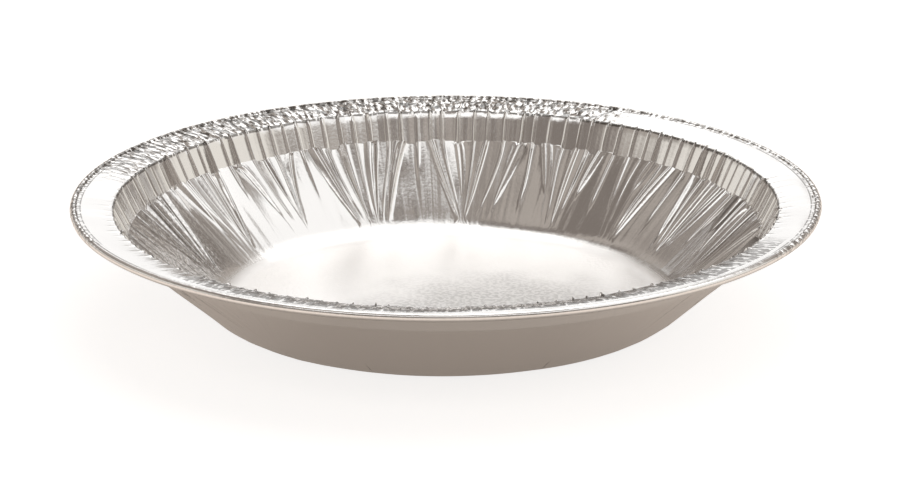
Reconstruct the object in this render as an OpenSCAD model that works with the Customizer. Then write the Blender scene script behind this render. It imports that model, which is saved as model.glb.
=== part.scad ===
// Foil pie tin. One disc of thin aluminium is pressed into a dish: the spare foil of its wall gathers
// into pleats, and its edge is rolled under into a bead. Sizes are in millimetres, +Z is up, and the
// origin is the middle of the base's underside.

/* [Rim] */
// Outside diameter, over the rolled bead
rim_d = 245; // [230:1:270]
// Width of the rim, from the inside of the lip to the outside of the bead
rim_w = 14.1; // [11:0.1:18]
// Height of the top of the bead above the top of the lip
rim_rise = 2; // [0:0.1:4]
// Outside diameter of the rolled bead
bead_d = 2.5; // [1.8:0.1:4]
// How far the edge of the foil is rolled round in the bead, in degrees
bead_turn = 300; // [220:5:315]
// How far inwards from the top of the bead the rim runs into it, in degrees round the bead
inner_turn = 50; // [20:5:60]
// Radius of the bend between the band and the rim, on its upper face
lip_r = 0.8; // [0.4:0.1:1.5]

/* [Dish] */
// Height of the top of the lip above the underside of the base
lip_h = 35.4; // [30:0.1:45]
// Height of the steep band below the lip
band_h = 9.3; // [6:0.1:14]
// How far the band leans out over its height
band_lean = 4.2; // [2:0.1:6]
// Width of the step between the wall and the band
ledge_w = 0.2; // [0.2:0.1:1.5]
// Rise of the step over its width
ledge_rise = 0.1; // [0:0.1:0.6]
// Diameter of the flat base
base_d = 138; // [120:1:156]
// Radius of the bend between the base and the wall, on its upper face
corner_r = 16; // [4:0.5:20]

/* [Foil] */
// Thickness of the foil
foil_t = 0.1; // [0.06:0.01:0.2]

/* [Pleats] */
// Number of long pleats round the wall; the band has twice as many
pleat_count = 62; // [40:2:66]
// Height of a middling pleat above the wall
pleat_h = 0.9; // [0.4:0.1:1.4]
// Width of a middling long pleat at the top of the wall
wall_pleat_w = 2.8; // [1.4:0.1:3.4]
// Width of a long pleat where it dies out
pleat_tip_w = 0.3; // [0.2:0.1:1]
// Width of a middling pleat on the band
band_pleat_w = 1; // [0.8:0.1:1.8]
// How far the long pleats stray from even spacing at their feet, as a share of the spacing
scatter_share = 0.7; // [0:0.05:0.8]
// How far up the wall the shortest of the long pleats starts, as a share of the wall
short_share = 0.6; // [0:0.05:0.8]
// Share of a pleat's height that is left on the band
band_share = 0.7; // [0.3:0.05:1]
// Share of a pleat's height that is left where the lip has pressed it
lip_share = 0.3; // [0:0.05:0.5]

/* [Hidden] */

// Steps along the stretches of the section
corner_steps = 2;
wall_steps = 3;
bead_steps = 7;

// Columns of points a pleat on the base, the wall, the band and the rim
base_count = 1;
wall_count = 3;
band_count = 6;
rim_count = 2;

half_t = foil_t / 2;
pitch = 360 / pleat_count;

// Centres and radii of the three bends, on the middle line of the foil, as [radius, height]
corner_mid_r = corner_r + half_t;
corner_at = [base_d / 2, half_t + corner_mid_r];
lip_mid_r = lip_r - half_t;
lip_at = [rim_d / 2 - rim_w + lip_r, lip_h - lip_r];
bead_mid_r = bead_d / 2 - half_t;
bead_at = [(rim_d - bead_d) / 2, lip_h + rim_rise - bead_d / 2];

// Ends of the step between the wall and the band
band_foot = [rim_d / 2 - rim_w - band_lean, lip_h - band_h];
wall_top = band_foot - [ledge_w, ledge_rise];

// Slopes of the straight stretches, in degrees above level
wall_slope = slope_past_bend(corner_at, wall_top, corner_mid_r);
band_slope = slope_past_bend(band_foot, lip_at, lip_mid_r);
rim_slope = slope_over_bends(lip_at, lip_mid_r, bead_at, bead_mid_r);

// The fold that the step makes, and the slope its pleats stand square to
fold = band_slope - wall_slope;
fold_slope = wall_slope + fold / 2;

// Where the rim runs into the bead, as a slope of the bead, and the slope halfway round that bend
bead_start = rim_slope + inner_turn;
bead_foot_slope = rim_slope + inner_turn / 2;

wall_foot = corner_at - corner_mid_r * above(wall_slope);

function above(slope) = [-sin(slope), cos(slope)];

// Slope of a line from a to b that touches a bend of radius r round one of them
function slope_past_bend(a, b, r) =
    let (reach = b - a) atan2(reach[1], reach[0]) + asin(r / norm(reach));

// Slope of a line laid over two bends
function slope_over_bends(a, ra, b, rb) =
    let (reach = b - a) atan2(reach[1], reach[0]) - asin((ra - rb) / norm(reach));

// A fixed number from 0 to 1 for pleat n, so that the pleats look chance-made but always come out alike
function chance(n, use) = let (x = 43758.5453 * sin(127.1 * n + 311.7 * use)) x - floor(x);

// A station of the section: its columns a pleat, its place, its slope, how much thicker the foil is
// cut at a sharp bend, its height up the wall from 0 to 1, and how much of a pleat it shows
function station(cols, at, slope, climb = 1, show = 1, bend = 0) =
    [cols, at, slope, 1 / cos(bend / 2), climb, show];

// The section, from the base out to the cut edge of the foil
stations = [
    for (k = [0 : corner_steps - 1])
        let (slope = wall_slope * k / corner_steps)
        station(base_count, corner_at - corner_mid_r * above(slope), slope),
    for (k = [0 : wall_steps - 1])
        let (climb = k / wall_steps)
        station(wall_count, wall_foot + climb * (wall_top - wall_foot), wall_slope, climb),
    station(wall_count, wall_top, fold_slope, bend = fold),
    station(band_count, band_foot, fold_slope, bend = fold),
    station(band_count, lip_at + lip_mid_r * above(band_slope), band_slope, show = band_share),
    station(band_count, lip_at + lip_mid_r * above(rim_slope), rim_slope, show = lip_share),
    station(rim_count, bead_at + bead_mid_r * above(bead_start), bead_foot_slope, bend = inner_turn),
    for (k = [1 : bead_steps])
        let (slope = bead_start - (bead_turn + inner_turn) * k / bead_steps)
        station(rim_count, bead_at + bead_mid_r * above(slope), slope)
];

// A point of the sheet: a station moved off the middle line by lift, and turned to its angle
function on_sheet(s, lift, angle) =
    let (p = s[1] + lift * above(s[2])) [p[0] * cos(angle), p[0] * sin(angle), p[1]];

// The foot, crest and foot of the pleat at a place counted in spacings: it spreads and rises from
// where it starts
function pleat(s, side, place) =
    let (
        n = 2 * place,
        banded = s[0] == band_count,
        start = short_share * pow(chance(n, 1), 2),
        growth = 1 - pow(min(1, (1 - s[4]) / (1 - start)), 1.8),
        uneven = banded ? 0.3 + 0.9 * chance(n, 14) : 1,
        height = pleat_h * (0.5 + chance(n, 2)) * uneven * growth * s[5],
        full_w = (banded ? band_pleat_w : wall_pleat_w) * (0.6 + 0.8 * chance(n, 4)),
        half_w = (pleat_tip_w + (full_w - pleat_tip_w) * growth) / 2,
        stray = scatter_share * (chance(n, 3) - 0.5) * (1 - 0.7 * s[4]),
        skin = side * half_t * s[3]
    )
    [
        for (foot = [-1, 0, 1])
            on_sheet(
                s,
                skin + height * (foot == 0 ? 0.9 : -0.1),
                pitch * (place + stray) + foot * half_w / s[1][0] * 180 / PI
            )
    ];

// The columns of one pleat's share of a ring
function columns(s, side, i) =
    s[0] == wall_count ? pleat(s, side, i) :
    s[0] == band_count ? concat(pleat(s, side, i), pleat(s, side, i + 0.5)) :
    [for (j = [0 : s[0] - 1]) on_sheet(s, side * half_t, pitch * (i + j / s[0]))];

function ring(s, side) = [for (i = [0 : pleat_count - 1]) each columns(s, side, i)];

// Number of the first point of each ring, and the count of points of a skin
ring_start = [for (k = 0, n = 0; k < len(stations); n = n + pleat_count * stations[k][0], k = k + 1) n];
skin_size = ring_start[len(stations) - 1] + pleat_count * rim_count;

// For each column of a ring, the column of a coarser or equal ring that its triangles hang on
function hangs_on(coarse, fine) =
    coarse == fine ? [for (j = [0 : fine - 1]) j] :
    coarse == wall_count ? [0, 1, 2, 2, 2, 3] :
    [for (j = [0 : fine - 1]) floor(j * coarse / fine)];

// Triangles between a coarser or equal ring that starts at point a and a finer one at point b
function strip(a, coarse, b, fine) = [
    for (i = [0 : pleat_count - 1], j = [0 : fine - 1])
        let (
            hangs = hangs_on(coarse, fine),
            all_a = coarse * pleat_count,
            all_b = fine * pleat_count,
            here = a + (coarse * i + hangs[j]) % all_a,
            next = a + (coarse * i + (j < fine - 1 ? hangs[j + 1] : coarse + hangs[0])) % all_a,
            b0 = b + (fine * i + j) % all_b,
            b1 = b + (fine * i + j + 1) % all_b
        )
        each (here == next ? [[here, b1, b0]] : [[here, b1, b0], [here, next, b1]])
];

function turned(t) = [t[0], t[2], t[1]];

skin_faces = [
    for (k = [0 : len(stations) - 2])
        let (a = ring_start[k], ca = stations[k][0], b = ring_start[k + 1], cb = stations[k + 1][0])
        each (ca <= cb ? strip(a, ca, b, cb) : [for (t = strip(b, cb, a, ca)) turned(t)])
];

module pie_tin() {
    cut_edge = ring_start[len(stations) - 1];
    base_points = base_count * pleat_count;
    color([0.74, 0.72, 0.70])
    polyhedron(
        points = [for (side = [1, -1], s = stations) each ring(s, side)],
        faces = [
            [for (i = [base_points - 1 : -1 : 0]) i],
            each skin_faces,
            each strip(cut_edge, rim_count, cut_edge + skin_size, rim_count),
            for (t = skin_faces) turned(t) + [skin_size, skin_size, skin_size],
            [for (i = [0 : base_points - 1]) i + skin_size]
        ]
    );
}

pie_tin();
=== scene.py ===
# Foil pie tin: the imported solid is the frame, and this script gives it its looks.
import math
from collections import namedtuple

import bmesh
import bpy
from mathutils import Matrix, Vector, noise


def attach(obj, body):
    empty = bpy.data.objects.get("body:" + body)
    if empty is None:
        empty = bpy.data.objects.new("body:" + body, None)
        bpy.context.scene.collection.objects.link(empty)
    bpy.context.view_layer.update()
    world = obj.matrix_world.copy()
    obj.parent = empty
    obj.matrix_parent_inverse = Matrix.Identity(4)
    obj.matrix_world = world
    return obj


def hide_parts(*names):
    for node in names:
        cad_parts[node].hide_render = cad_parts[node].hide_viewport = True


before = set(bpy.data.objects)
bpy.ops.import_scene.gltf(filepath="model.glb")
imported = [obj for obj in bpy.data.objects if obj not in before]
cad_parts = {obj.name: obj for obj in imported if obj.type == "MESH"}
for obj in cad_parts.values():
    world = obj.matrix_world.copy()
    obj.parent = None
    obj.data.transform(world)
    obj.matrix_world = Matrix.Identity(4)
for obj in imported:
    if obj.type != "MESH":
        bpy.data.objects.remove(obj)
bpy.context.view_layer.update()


# The tin. One disc of soft aluminium foil, a tenth of a millimetre thick, is pressed into a dish. The
# spare foil of its wall gathers into long pleats, the steep band above has twice as many, the rim is
# pressed flat, and the edge is rolled under into a crimped bead.

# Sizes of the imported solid, in millimetres and degrees
MM = 0.001
foil_t = 0.1
rim_d, rim_w, rim_rise = 245.0, 14.1, 2.0
bead_d, bead_turn, inner_turn = 2.5, 300.0, 50.0
lip_h, lip_r = 35.4, 0.8
band_h, band_lean = 9.3, 4.2
ledge_w, ledge_rise = 0.2, 0.1
base_d, corner_r = 138.0, 16.0
pleat_count, pleat_h = 62, 0.9
wall_pleat_w, pleat_tip_w, band_pleat_w = 2.8, 0.3, 1.0
scatter_share, short_share, band_share, lip_share = 0.7, 0.6, 0.7, 0.3

# How the real foil departs from the solid's plain pleats. Its long pleats are steeper by a factor, the
# feet of a bundle run together by a share of their distance, and each sways by a share of the spacing.
steepness = 1.3
bundle_pull, sway = 0.7, 0.5

# The most of the room to the next long pleat that half of a long and of a short pleat takes, how wide a
# short one is on the wall, and how uneven crests are as a share of their height
long_of_room, short_of_room = 0.32, 0.12
short_tip_w = 0.4
crest_roughness = 0.18

# Flats tilt by up to flat_tilt, and by a share of it on the band, and sag by a share of their pleats'
# height. The ledge's fold lies up to ledge_drop lower, and the whole sheet wobbles.
flat_tilt, band_tilt_share, sag = 0.7, 0.5, 0.1
ledge_drop = 1.6
wobble = 0.2
rim_swell = 0.25

# How rough each stretch is in millimetres, plain first and then crumpled or crimped, and the share of all
# this that shows on the outside of the foil
wall_roughness, band_roughness = 0.04, 0.1
rim_roughness, back_crumple, front_crumple = 0.001, 0.22, 0.1
bead_roughness, bead_crimp = 0.02, 0.04
outside_share = 0.05

# Stretches of the tin, as their middle and their reach to each side in degrees round from +X. The front
# is at 270. What is special to a stretch fades out over the degrees past its reach.
fade = 15
loose_bundles = (20, 35)
steep_wall = (38, 42)
wide_pleats = (130, 22)
leaning_pleats = (165, 60)
calm_pleats, calm_flats = (174, 9), (174, 11)
even_ledge = (270, 45)
fine_band = ((28, 40), (155, 30))
crumpled_back, crumpled_front = (112, 45), (268, 42)
crimped, crimped_most = (86, 92), (120, 60)

# Steps along the stretches of the section. Past under_from, in degrees round the bead from where the rim
# runs into it, the bead is turned under and out of sight.
base_ring_r = 62.0
corner_steps, wall_steps, band_steps, lip_steps, under_steps = 5, 12, 4, 3, 5
rim_shares = (0.08, 0.2, 0.4, 0.6, 0.8, 0.93)
bead_crimps = ((22, 0.4), (44, 1.0), (62, 1.0), (80, 0.8), (98, 0.4), (118, 0.1))
under_from = 145

# Columns of points to each long pleat and the short one after it, with two on each flat between them
long_reach, short_reach = 3, 2
flat_columns = (0.15, 0.85)
columns = 2 * long_reach + 1 + 2 * short_reach + 1 + 2 * len(flat_columns)
spacing = math.tau / pleat_count


def above(slope):
    """The direction square to a slope, on its upper side."""
    return Vector((-math.sin(slope), math.cos(slope)))


def slope_past_bend(a, b, r):
    """Slope of a line from a to b that touches a bend of radius r round one of them."""
    reach = b - a
    return math.atan2(reach.y, reach.x) + math.asin(r / reach.length)


# The middle line of the foil: the bends' centres and radii, the ends of the straight stretches between
# them and their slopes, as in the solid
half_t = foil_t / 2
corner_mid_r = corner_r + half_t
corner_at = Vector((base_d / 2, half_t + corner_mid_r))
lip_mid_r = lip_r - half_t
lip_at = Vector((rim_d / 2 - rim_w + lip_r, lip_h - lip_r))
bead_mid_r = bead_d / 2 - half_t
bead_at = Vector(((rim_d - bead_d) / 2, lip_h + rim_rise - bead_d / 2))
band_foot = Vector((rim_d / 2 - rim_w - band_lean, lip_h - band_h))
wall_top = band_foot - Vector((ledge_w, ledge_rise))
wall_slope = slope_past_bend(corner_at, wall_top, corner_mid_r)
band_slope = slope_past_bend(band_foot, lip_at, lip_mid_r)
fold_slope = (wall_slope + band_slope) / 2
rim_reach = bead_at - lip_at
rim_slope = math.atan2(rim_reach.y, rim_reach.x) - math.asin((lip_mid_r - bead_mid_r) / rim_reach.length)
wall_foot = corner_at - corner_mid_r * above(wall_slope)
band_top = lip_at + lip_mid_r * above(band_slope)
lip_top = lip_at + lip_mid_r * above(rim_slope)
bead_start = rim_slope + math.radians(inner_turn)
bead_top = bead_at + bead_mid_r * above(bead_start)

# A station of the section: its place and slope, how far up the wall it is, how much of the pleats it
# shows, how far its columns have gone from evenly spread to following the pleats, whether they follow
# the band's pleats, how much the flats between them tilt, and how much of the rim's crumples and of the
# bead's crimps it takes
Station = namedtuple("Station", "at slope climb show gathered banded tilt rim bead")
stations = []


def station(at, slope, climb=1.0, show=0.0, gathered=0.0, banded=True, tilt=0.0, rim=0.0, bead=0.0):
    stations.append(Station(at, slope, climb, show, gathered, banded, tilt, rim, bead))


for r in (0.0, base_ring_r):
    station(Vector((r, half_t)), 0.0, climb=0.0, banded=False)
for k in range(corner_steps):
    share = k / corner_steps
    slope = wall_slope * share
    station(corner_at - corner_mid_r * above(slope), slope, climb=0.0, gathered=share, banded=False)
for k in range(wall_steps):
    climb = k / wall_steps
    station(wall_foot.lerp(wall_top, climb), wall_slope, climb, 1.0, 1.0, banded=False, tilt=1.0)
station(wall_top, fold_slope, show=1.0, gathered=1.0, banded=False, tilt=1.0)
station(band_foot, fold_slope, show=1.0, gathered=1.0, tilt=1.0)
for k in range(1, band_steps):
    share = k / band_steps
    show = 1 + share * (band_share - 1)
    station(band_foot.lerp(band_top, share), band_slope, show=show, gathered=1.0, tilt=1.0)
for k in range(lip_steps + 1):
    share = k / lip_steps
    slope = band_slope + share * (rim_slope - band_slope)
    show = band_share + share * (lip_share - band_share)
    station(lip_at + lip_mid_r * above(slope), slope, show=show, gathered=1.0, tilt=1 - share, rim=share)
for share in rim_shares:
    show = lip_share * (1 - share) ** 10
    swell = Vector((0.0, rim_swell * math.sin(math.pi * share)))
    at = lip_top.lerp(bead_top, share) + swell
    station(at, rim_slope, show=show, gathered=1 - share, rim=1 - 0.6 * share)
station(bead_top, (rim_slope + bead_start) / 2)
for turned, bead in bead_crimps:
    slope = bead_start - math.radians(turned)
    station(bead_at + bead_mid_r * above(slope), slope, bead=bead)
for k in range(under_steps + 1):
    turned = under_from + k / under_steps * (bead_turn + inner_turn - under_from)
    slope = bead_start - math.radians(turned)
    station(bead_at + bead_mid_r * above(slope), slope)


def chance(n, use):
    """A fixed number from 0 to 1, the same as the solid's."""
    x = 43758.5453 * math.sin(math.radians(127.1 * n + 311.7 * use))
    return x - math.floor(x)


def scattered(n, use):
    """A fixed number from -1 to 1."""
    return 2 * chance(n, use) - 1


def near(i, stretch):
    """1 for a pleat in a stretch of the tin, fading to 0 past it."""
    middle, reach = stretch
    away = abs((i * 360 / pleat_count - middle + 180) % 360 - 180)
    return max(0.0, 1 - max(0.0, away - reach) / fade)


def between(a, b, share):
    """The value a share of the way from a to b."""
    return a + share * (b - a)


# The middle of the bundle of three or four long pleats that each one runs towards on its way down
bundle_of = []
while len(bundle_of) < pleat_count:
    first = len(bundle_of)
    size = min(3 if chance(first, 17) > 0.4 else 4, pleat_count - first)
    bundle_of += [first + (size - 1) / 2] * size


def width_share(n):
    """How wide a pleat is, as a share of a middling one."""
    return 0.6 + 0.8 * chance(n, 4)


def height_share(n):
    """How high a pleat is, as a share of a middling one."""
    return 0.5 + chance(n, 2)


def long_pleat(i, climb):
    """Middle, half width and height of a long pleat at a height up the wall."""
    start = short_share * chance(2 * i, 1) ** 2
    growth = 1 - min(1.0, (1 - climb) / (1 - start)) ** (1.8 + 1.4 * near(i, steep_wall))
    wider = 1 + 0.35 * near(i, wide_pleats)
    steep = steepness * wider * (1 - 0.75 * near(i, calm_pleats)) * (1 + 0.25 * near(i, steep_wall))
    middle = i + scatter_share * (chance(2 * i, 3) - 0.5) * (1 - 0.7 * climb)
    middle += sway * scattered(2 * i, 15) * climb * (1 - climb)
    middle += (bundle_pull - 0.25 * near(i, loose_bundles)) * (1 - climb) * (bundle_of[i] - i)
    full_w = wider * wall_pleat_w * width_share(2 * i)
    half_w = between(pleat_tip_w, full_w, growth) / 2
    return middle, half_w, steep * pleat_h * height_share(2 * i) * growth


def band_half_w(n):
    """Half the width of a pleat on the band."""
    return band_pleat_w / 2 * width_share(n)


def band_height(n):
    """How high a pleat is on the band, as a share of its height on the wall."""
    return 0.3 + 0.9 * chance(n, 14)


def fineness(i):
    """How narrow the band's pleats are, as a share of their full width."""
    return 1 - 0.45 * max(near(i, stretch) for stretch in fine_band)


def long_row(s, per_mm):
    """All long pleats where they cross a ring, and the room in millimetres from each to the next."""
    row = [long_pleat(i, s.climb) for i in range(pleat_count)]
    rooms = [((row[(i + 1) % pleat_count][0] - row[i][0]) % pleat_count) / per_mm for i in range(pleat_count)]
    for i, (middle, half_w, height) in enumerate(row):
        room = long_of_room * min(rooms[i - 1], rooms[i])
        half_w = band_half_w(2 * i) if s.banded else min(half_w, room)
        row[i] = middle, half_w, height * s.show
    return row, rooms


def short_pleat(i, s, wall_middle, room):
    """Middle, half width and height of the short pleat after long pleat i."""
    n = 2 * i + 1
    band_middle = i + 0.5 + scatter_share * (chance(n, 3) - 0.5) * 0.3
    middle = between(wall_middle, band_middle, s.climb ** 2)
    half_w = between(short_tip_w, band_half_w(n), s.climb ** 2)
    half_w = min(half_w, (short_of_room + 0.04 * near(i, steep_wall)) * room)
    height = pleat_h * height_share(n) * s.show
    if s.banded:
        return middle, half_w * fineness(i), height * band_height(n)
    alone = bundle_of[i] != bundle_of[(i + 1) % pleat_count]
    start = ((0.35 if alone else 0.05) + 0.4 * chance(n, 5)) * (1 - 0.6 * near(i, steep_wall))
    height *= 0.8 - 0.6 * near(i, calm_flats) + 0.5 * near(i, steep_wall)
    return middle, half_w, height * max(0.0, (s.climb - start) / (1 - start)) ** 0.7


def crest(u, column, doubled):
    """The rise of a pleat from foot to foot. Wide ones have a crease down the middle."""
    if doubled:
        rise = (0.0, 0.9, 0.55, 0.1)[round(3 - 3 * abs(u))]
    else:
        rise = 1 - abs(u) ** 1.3
    return rise + crest_roughness * scattered(column, 8) * (1 - u * u)


def pleat_panel(column, reach, pleat, stands, doubled=False, lean=0.0):
    """Place and lift of the columns of a pleat, from one foot to the other. Its crest leans to one side."""
    middle, half_w, height = pleat
    panel = []
    for k in range(2 * reach + 1):
        u = (k - reach) / reach
        leant = u * (1 + lean) - lean if u > 0 else u * (1 - lean) - lean
        lift = height * (crest(u, column + k, doubled) * (1 + sag) - sag) + between(*stands, (u + 1) / 2)
        panel.append((middle + leant * half_w, lift))
    return panel


def flat_panel(feet, stands, heights):
    """Place and lift of the columns of a flat between two pleats, which sags beside high ones."""
    return [(between(*feet, u), between(*stands, u) - sag * between(*heights, u)) for u in flat_columns]


def foot_stand(foot, climb):
    """How far the foot of a pleat stands off the wall, so that the flats between pleats tilt."""
    calmed = 1 - 0.8 * near(foot / 4, calm_flats)
    return flat_tilt * calmed * chance(foot % (4 * pleat_count), 13) * climb


def unevenness(s, i, column):
    """What the wall and the band, the rim's crumples and the bead's crimps add to the lift of a column."""
    lift = 0.0
    if s.rim == 0:
        lift += wall_roughness * scattered(column, 11) * s.climb * s.gathered
    if s.banded:
        lift += band_roughness * fineness(i) ** 2 * scattered(column // 2, 12) * s.tilt
    crumple = rim_roughness + back_crumple * near(i, crumpled_back) + front_crumple * near(i, crumpled_front)
    crimp = bead_roughness + bead_crimp * near(i, crimped) + bead_crimp * near(i, crimped_most)
    return lift + s.rim * crumple * scattered(column, 6) + s.bead * crimp * scattered(column // 2, 7)


def ring_places(s):
    """The angle, the lift and the drop down the band of every column of one ring."""
    per_mm = 1 / max(s.at.x, 1.0) / spacing
    on_ledge = s.slope == fold_slope
    row, rooms = long_row(s, per_mm)
    found = []
    for i in range(pleat_count):
        middle, half_w, height = row[i]
        next_middle, next_half_w, next_height = row[(i + 1) % pleat_count]
        if i == pleat_count - 1:
            next_middle += pleat_count
        if s.banded:
            half_w *= fineness(i)
            height *= band_height(2 * i)
        half_w *= per_mm
        next_half_w *= per_mm
        short_middle, short_half_w, short_height = short_pleat(i, s, (middle + next_middle) / 2, rooms[i])
        short_half_w *= per_mm
        feet = (
            middle + half_w,
            short_middle - short_half_w,
            short_middle + short_half_w,
            next_middle - next_half_w,
        )
        tilt = s.tilt * (band_tilt_share * fineness(i) ** 2 if s.banded else 1.0)
        stands = [foot_stand(4 * i + k, s.climb) * tilt for k in range(5)]
        doubled = chance(2 * i, 4) > 0.45 and not s.banded
        lean = (0.05 + 0.45 * near(i, leaning_pleats)) * (0.7 + 0.6 * chance(2 * i, 16))
        start = i * columns
        short_start = start + 2 * long_reach + 1 + len(flat_columns)
        panels = (
            pleat_panel(start, long_reach, (middle, half_w, height), stands[:2], doubled, lean),
            flat_panel(feet[:2], stands[1:3], (height, short_height)),
            pleat_panel(short_start, short_reach, (short_middle, short_half_w, short_height), stands[2:4]),
            flat_panel(feet[2:], stands[3:], (short_height, next_height)),
        )
        column = start
        for number, panel in enumerate(panels):
            drop = ledge_drop * chance(4 * i + number, 10) ** 2 * (1 - near(i, even_ledge))
            low = 0.0 if s.climb == 1 else drop * math.sin(band_slope - wall_slope) * s.climb ** 2
            for place, lift in panel:
                even = i + (column - start - long_reach) / columns
                angle = between(even, place, s.gathered) * spacing
                lift += unevenness(s, i, column) - low
                found.append((angle, lift, drop if on_ledge else 0.0))
                column += 1
    return found


bm = bmesh.new()
ring_number = bm.verts.layers.int.new("ring")
outside = bm.verts.layers.int.new("outside")
section = [bm.verts.new((s.at.x, 0.0, s.at.y)) for s in stations]
for k, v in enumerate(section):
    v[ring_number] = k
for a, b in zip(section, section[1:]):
    bm.edges.new((a, b))
bmesh.ops.spin(
    bm, geom=bm.verts[:] + bm.edges[:], cent=(0, 0, 0), axis=(0, 0, 1), dvec=(0, 0, 0),
    angle=math.tau, steps=columns * pleat_count, use_merge=True,
)
bmesh.ops.remove_doubles(bm, verts=bm.verts[:], dist=1e-4)
bmesh.ops.recalc_face_normals(bm, faces=bm.faces[:])

# A second skin for the outside, turned over and joined to the first round the cut edge
copied = bmesh.ops.duplicate(bm, geom=bm.verts[:] + bm.edges[:] + bm.faces[:])["geom"]
for v in copied:
    if isinstance(v, bmesh.types.BMVert):
        v[outside] = 1
inner_base = [f for f in bm.faces if not f.verts[0][outside] and f.verts[0].co.x ** 2 < 900]
upward = sum(f.normal.z for f in inner_base) > 0
turned_over = [f for f in bm.faces if (f.verts[0][outside] == 1) == upward]
bmesh.ops.reverse_faces(bm, faces=turned_over)
bmesh.ops.bridge_loops(bm, edges=[e for e in bm.edges if e.is_boundary])

# Each point goes from its ring of the plain dish to its place on the pleated one
places = [ring_places(s) for s in stations]
total = columns * pleat_count
down_band = Vector((math.cos(band_slope), math.sin(band_slope)))
wobble_from, wobble_over, wobble_to = 70.0, 10.0, bead_at.x - 2.0
wobbles_per_mm = 0.07
for v in bm.verts:
    r = math.hypot(v.co.x, v.co.y)
    s = stations[v[ring_number]]
    column = round(math.atan2(v.co.y, v.co.x) / math.tau * total) % total
    angle, lift, drop = places[v[ring_number]][column]
    lift = min(lift, outside_share * lift) - half_t if v[outside] else lift + half_t
    if r > wobble_from and s.at.x < wobble_to:
        lift += wobble * noise.noise(v.co * wobbles_per_mm) * min(1.0, (r - wobble_from) / wobble_over)
    p = s.at + lift * above(s.slope) - drop * down_band
    if r > 1e-3:
        v.co = (p.x * math.cos(angle), p.x * math.sin(angle), p.y)
    else:
        v.co.z = p.y
for f in bm.faces:
    f.smooth = True
folds = [k for k, s in enumerate(stations) if s.slope == fold_slope]
for e in bm.edges:
    a, b = e.verts
    e.smooth = not (a[ring_number] == b[ring_number] and a[ring_number] in folds)
bmesh.ops.scale(bm, vec=(MM, MM, MM), verts=bm.verts[:])
mesh = bpy.data.meshes.new("foil_tin")
bm.to_mesh(mesh)
bm.free()
tin = bpy.data.objects.new("foil_tin", mesh)
bpy.context.scene.collection.objects.link(tin)

# Bright bare foil, with painted shade and painted dark reflections in its colour where it is folded, crimped
# and crumpled, at the front of the base and at the left of the wall
bright = (0.88, 0.86, 0.84, 1)
crease_shade_dark = (0.26, 0.245, 0.23, 1)
foil = bpy.data.materials.new("bright_foil")
foil.use_nodes = True
nodes, links = foil.node_tree.nodes, foil.node_tree.links
shader = nodes["Principled BSDF"]
shader.inputs["Metallic"].default_value = 1.0
coords = nodes.new("ShaderNodeTexCoord").outputs["Object"]


def fill(socket, value):
    """Links a node's output to a socket, or sets the socket to a fixed value."""
    if isinstance(value, bpy.types.NodeSocket):
        links.new(value, socket)
    else:
        socket.default_value = value


def math_node(operation, *values):
    node = nodes.new("ShaderNodeMath")
    node.operation = operation
    for socket, value in zip(node.inputs, values):
        fill(socket, value)
    return node.outputs[0]


def product(first, *others):
    for other in others:
        first = math_node("MULTIPLY", first, other)
    return first


def most(first, *others):
    for other in others:
        first = math_node("MAXIMUM", first, other)
    return first


def vector_node(operation, a, b=None):
    node = nodes.new("ShaderNodeVectorMath")
    node.operation = operation
    fill(node.inputs[0], a)
    if b is not None:
        fill(node.inputs[1], b)
    scalar = operation in ("DOT_PRODUCT", "LENGTH", "DISTANCE")
    return node.outputs["Value" if scalar else "Vector"]


def ramp(value, start, end, low=0.0, high=1.0, smooth=True):
    """From low to high as the value goes from start to end."""
    node = nodes.new("ShaderNodeMapRange")
    if smooth:
        node.interpolation_type = "SMOOTHSTEP"
    for name, number in (("From Min", start), ("From Max", end), ("To Min", low), ("To Max", high)):
        node.inputs[name].default_value = number
    links.new(value, node.inputs["Value"])
    return node.outputs["Result"]


def noise_node(place, scale, detail, rough=0.5):
    node = nodes.new("ShaderNodeTexNoise")
    for name, value in (("Vector", place), ("Scale", scale), ("Detail", detail), ("Roughness", rough)):
        fill(node.inputs[name], value)
    return node.outputs["Fac"]


def mixed_colour(share, a, b):
    node = nodes.new("ShaderNodeMix")
    node.data_type = "RGBA"
    for name, value in (("Factor", share), ("A", a), ("B", b)):
        fill(node.inputs[name], value)
    return node.outputs["Result"]


flat = vector_node("MULTIPLY", coords, (1, 1, 0))
radius = vector_node("LENGTH", flat)
outwards = vector_node("NORMALIZE", flat)
arc_mm = vector_node("MULTIPLY", outwards, (119, 119, 119))


def streaks(squeeze):
    """Places in millimetres of arc at the rim, squeezed outwards, so that a pattern runs in streaks."""
    joined = nodes.new("ShaderNodeCombineXYZ")
    links.new(math_node("MULTIPLY", radius, squeeze / MM), joined.inputs["Z"])
    return vector_node("ADD", arc_mm, joined.outputs["Vector"])


def ring(start, end, fade_in=0.2, fade_out=0.2, high=1.0):
    """A ring between two radii in millimetres, fading in and out inside it."""
    fade_in = ramp(radius, start * MM, (start + fade_in) * MM)
    return product(fade_in, ramp(radius, end * MM, (end - fade_out) * MM, 0.0, high))


def towards(middle, end, full, low=0.0, high=1.0):
    """High round a place given in degrees from +X, as far as full to each side, and low from end on."""
    a = math.radians(middle)
    facing = vector_node("DOT_PRODUCT", outwards, (math.cos(a), math.sin(a), 0))
    return ramp(facing, math.cos(math.radians(end)), math.cos(math.radians(full)), low, high)


upwards = vector_node("DOT_PRODUCT", nodes.new("ShaderNodeNewGeometry").outputs["True Normal"], (0, 0, 1))
inside = ramp(upwards, -0.05, 0.05, 0.05, 1.0)
on_base = ramp(radius, 0.073, 0.068)
back, front, left = 112, 280, 174

# Long fine creases down the wall and the band
creases = noise_node(streaks(0.12), 0.2, 1.5, 0.6)
crease_h = product(creases, 0.35 * MM, ring(74, 109, 10, 0.5), inside)

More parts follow.
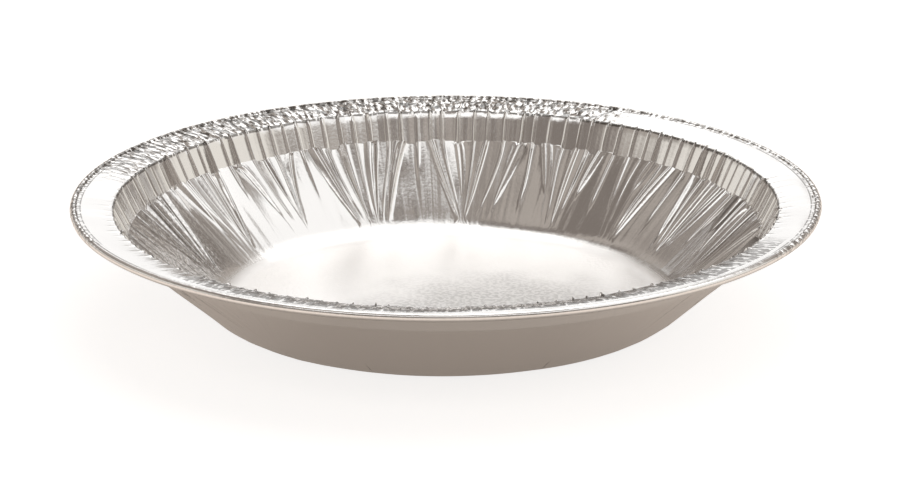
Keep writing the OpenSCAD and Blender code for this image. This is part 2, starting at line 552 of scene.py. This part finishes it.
# Domed cells where the rim is crumpled at the back, and half as high round the crimped bead
cells = nodes.new("ShaderNodeTexVoronoi")
cells.inputs["Scale"].default_value = 0.36
links.new(streaks(0.55), cells.inputs["Vector"])
chained = towards(86.5, 121.3, 114.8, 0.08)
bead_cells = product(ramp(radius, 0.1195, 0.121, 0.0, 0.5), chained)
cell_share = math_node("ADD", towards(back, 60, 45.6, 0.0, 0.9), bead_cells)
dome = product(cells.outputs["Distance"], cells.outputs["Distance"])
cell_h = product(dome, -1.5 * MM, ramp(radius, 0.1085, 0.1092), cell_share)

# Painted shade where the foil is folded: dark lines along the bead and the lip, the bead's links, the most
# crumpled part of the back of the rim, and a hatching along the front of it, all painted into the colour as
# shade and dark reflection in the creases
crimps = noise_node(streaks(0.5), 0.75, 1.0)
lip_line = ring(108.2, 109.0)
bead_lines = product(most(ring(118.8, 119.4), ring(120.2, 120.8)), chained)
lines = product(most(bead_lines, lip_line), ramp(crimps, 0.36, 0.46))
bead_links = product(ramp(radius, 0.1190, 0.1192), chained, towards(back, 90, 60, 0.45))
worst = product(ramp(radius, 0.1098, 0.1106), towards(back, 60, 41.4))
rungs = product(ramp(crimps, 0.5, 0.57), most(bead_links, worst))
hatched = product(ring(108.6, 117.5), towards(front, 58, 51))
hatch = product(ramp(crimps, 0.40, 0.50), hatched)

# Painted reflection and shade: a cloudy, speckled darker stretch at the front of the base where the foil
# mirrors dark, and speckled painted shade at the left of the wall
speckles = noise_node(coords, 700.0, 1.0)
from_darkest_reflection = vector_node("DISTANCE", coords, (0.018, -0.025, 0))
cloudy = math_node("ADD", from_darkest_reflection, product(noise_node(coords, 60.0, 2.0), 0.03))
# Painted dark reflection: the base's colour darkened in a cloudy, speckled patch at its front
painted_dark_reflection = product(ramp(cloudy, 0.082, 0.044, 0.0, 0.62), on_base, inside, ramp(speckles, 0.42, 0.58, 0.6, 1.0))
left_wall = product(towards(left, 23.1, 11.5), ring(74, 104.2, 10, 0.4))
# Painted shade: speckled darkening of the colour at the left of the wall
painted_left_shade = product(left_wall, ramp(speckles, 0.6, 0.45, 0.1, 0.35))
# The foil's colour: bright, darkened towards the dark colour by all the painted shade and painted reflection
# marks above
shade = mixed_colour(most(lines, rungs, hatch, painted_dark_reflection, painted_left_shade), bright, crease_shade_dark)
links.new(shade, shader.inputs["Base Color"])

grain = noise_node(coords, 900.0, 3.0)
speckle_h = product(speckles, 0.14 * MM, most(on_base, left_wall))
bump = nodes.new("ShaderNodeBump")
bump.inputs["Distance"].default_value = 1.0
fine_h = math_node("ADD", product(grain, 0.03 * MM), speckle_h)
links.new(math_node("ADD", math_node("ADD", crease_h, cell_h), fine_h), bump.inputs["Height"])
links.new(bump.outputs["Normal"], shader.inputs["Normal"])
base_rough = ramp(radius, 0.080, 0.074, 0.0, 0.33)
rough = most(ramp(grain, 0.0, 1.0, 0.1, 0.2), base_rough, ring(103.6, 109, 0.6, 0.8, 0.15))
links.new(rough, shader.inputs["Roughness"])
mesh.materials.append(foil)
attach(tin, "root")
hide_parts("pie_tin")


# The floor. It is a pale matt sheet under the tin. To the camera it is white with the tin's soft shadow on
# it. In the foil it also glows a warm grey, and this glow is a painted shadow: dim near the tin and growing
# lighter away from it and to the sides.
bm = bmesh.new()
bmesh.ops.create_grid(bm, x_segments=1, y_segments=1, size=4.0)
mesh = bpy.data.meshes.new("floor")
bm.to_mesh(mesh)
bm.free()
floor = bpy.data.objects.new("floor", mesh)
bpy.context.scene.collection.objects.link(floor)
pale = bpy.data.materials.new("pale_floor")
pale.use_nodes = True
nodes, links = pale.node_tree.nodes, pale.node_tree.links
shader = nodes["Principled BSDF"]
shader.inputs["Base Color"].default_value = (0.46, 0.43, 0.40, 1)
shader.inputs["Roughness"].default_value = 0.9
path = nodes.new("ShaderNodeLightPath")
coords = nodes.new("ShaderNodeTexCoord").outputs["Object"]
glow = nodes.new("ShaderNodeEmission")
links.new(product(path.outputs["Is Camera Ray"], 0.79), glow.inputs["Strength"])
# A glow seen only in the foil, its strength a painted shadow: dim near the tin, lighter away from it and to
# the sides
warm = nodes.new("ShaderNodeEmission")
warm.inputs["Color"].default_value = (1.0, 0.88, 0.79, 1)
away = vector_node("LENGTH", coords)
sideways = math_node("ABSOLUTE", vector_node("DOT_PRODUCT", coords, (1, 0, 0)))
lightness = math_node("ADD", ramp(away, 0.13, 0.16, 0.19, 0.5), ramp(sideways, 0.03, 0.1, 0.0, 0.08))
links.new(product(path.outputs["Is Glossy Ray"], lightness), warm.inputs["Strength"])


def added(a, b):
    node = nodes.new("ShaderNodeAddShader")
    links.new(a, node.inputs[0])
    links.new(b, node.inputs[1])
    return node.outputs["Shader"]


whole = added(shader.outputs["BSDF"], added(glow.outputs["Emission"], warm.outputs["Emission"]))
links.new(whole, nodes["Material Output"].inputs["Surface"])
mesh.materials.append(pale)


# The studio. A white room lights the tin from all round, brightest high up at the back. Dark cards stand
# round it for the foil to mirror, the front is dark low down, and a window is high up in front.
world = bpy.data.worlds.new("studio")
bpy.context.scene.world = world
world.use_nodes = True
nodes, links = world.node_tree.nodes, world.node_tree.links
around = nodes.new("ShaderNodeTexCoord").outputs["Generated"]
upward_part = (0.0, 0.0, 1.0)


def sky(azimuth, height):
    a, h = math.radians(azimuth), math.radians(height)
    return (math.cos(a) * math.cos(h), math.sin(a) * math.cos(h), math.sin(h))


def looking(direction, start, end, high=1.0):
    return ramp(vector_node("DOT_PRODUCT", around, direction), start, end, 0.0, high)


def spot(azimuth, height, outer, inner, high=1.0):
    """A round soft-edged spot of the sky, given in degrees."""
    start, end = math.cos(math.radians(outer)), math.cos(math.radians(inner))
    return looking(sky(azimuth, height), start, end, high)


high_left = product(looking((-0.85, -0.53, 0.0), -0.02, 0.14), looking(upward_part, 0.34, 0.5))
cards = (
    spot(141, 36, 24, 16),
    spot(112, 14, 16, 10),
    spot(64, 20, 22, 16),
    spot(46, 24, 22, 12, 0.85),
    spot(108, 32, 10, 8),
    spot(312, 67, 15, 9),
)
low_ring = product(looking(upward_part, 0.62, 0.5), looking((0.0, 1.0, 0.0), 0.8, 0.6))
in_front = product(low_ring, looking((0.0, -1.0, 0.0), 0.15, 0.45))
horizon = looking(upward_part, 0.14, 0.08)
dim = most(high_left, *cards, in_front, horizon)

white = mixed_colour(spot(90, 55, 40, 20), (1.08, 1.08, 1.08, 1), (1.6, 1.6, 1.6, 1))
greyed = mixed_colour(low_ring, white, (0.86, 0.83, 0.78, 1))
uneven = ramp(noise_node(around, 4.0, 0.0), 0.4, 0.65, smooth=False)
dimmed = mixed_colour(uneven, (0.215, 0.188, 0.17, 1), (0.45, 0.41, 0.375, 1))
window_h = product(looking(upward_part, 0.66, 0.70), looking(upward_part, 0.86, 0.82))
window = product(window_h, looking(sky(258, 0), 0.38, 0.44))
room = mixed_colour(window, mixed_colour(dim, greyed, dimmed), (1.3, 1.3, 1.3, 1))
links.new(room, nodes["Background"].inputs["Color"])


# The camera. It has the photograph's height, distance and slight roll, and the tin's axis stands where
# it does there. The photograph's measures are in its pixels.
photo_w, photo_h = 900, 495
axis_x, axis_y = 445.92, 256.53
focal_px = 3648
sensor_w = 36.0
elevation, roll, distance = math.radians(17.93), math.radians(-0.27), 1.2
aimed_h = 0.016
lens = bpy.data.cameras.new("camera")
camera = bpy.data.objects.new("camera", lens)
bpy.context.scene.collection.objects.link(camera)
lens.sensor_width = sensor_w
lens.lens = focal_px / photo_w * sensor_w
lens.shift_x = (photo_w / 2 - axis_x) / photo_w
lens.shift_y = (axis_y - photo_h / 2) / photo_w
lens.clip_start, lens.clip_end = 0.01, 50.0
camera.location = (0, -distance * math.cos(elevation), distance * math.sin(elevation) + aimed_h)
turn = Matrix.Rotation(math.pi / 2 - elevation, 4, "X") @ Matrix.Rotation(roll, 4, "Z")
camera.rotation_euler = turn.to_euler()
bpy.context.scene.camera = camera
bpy.context.scene.view_settings.view_transform = "Standard"
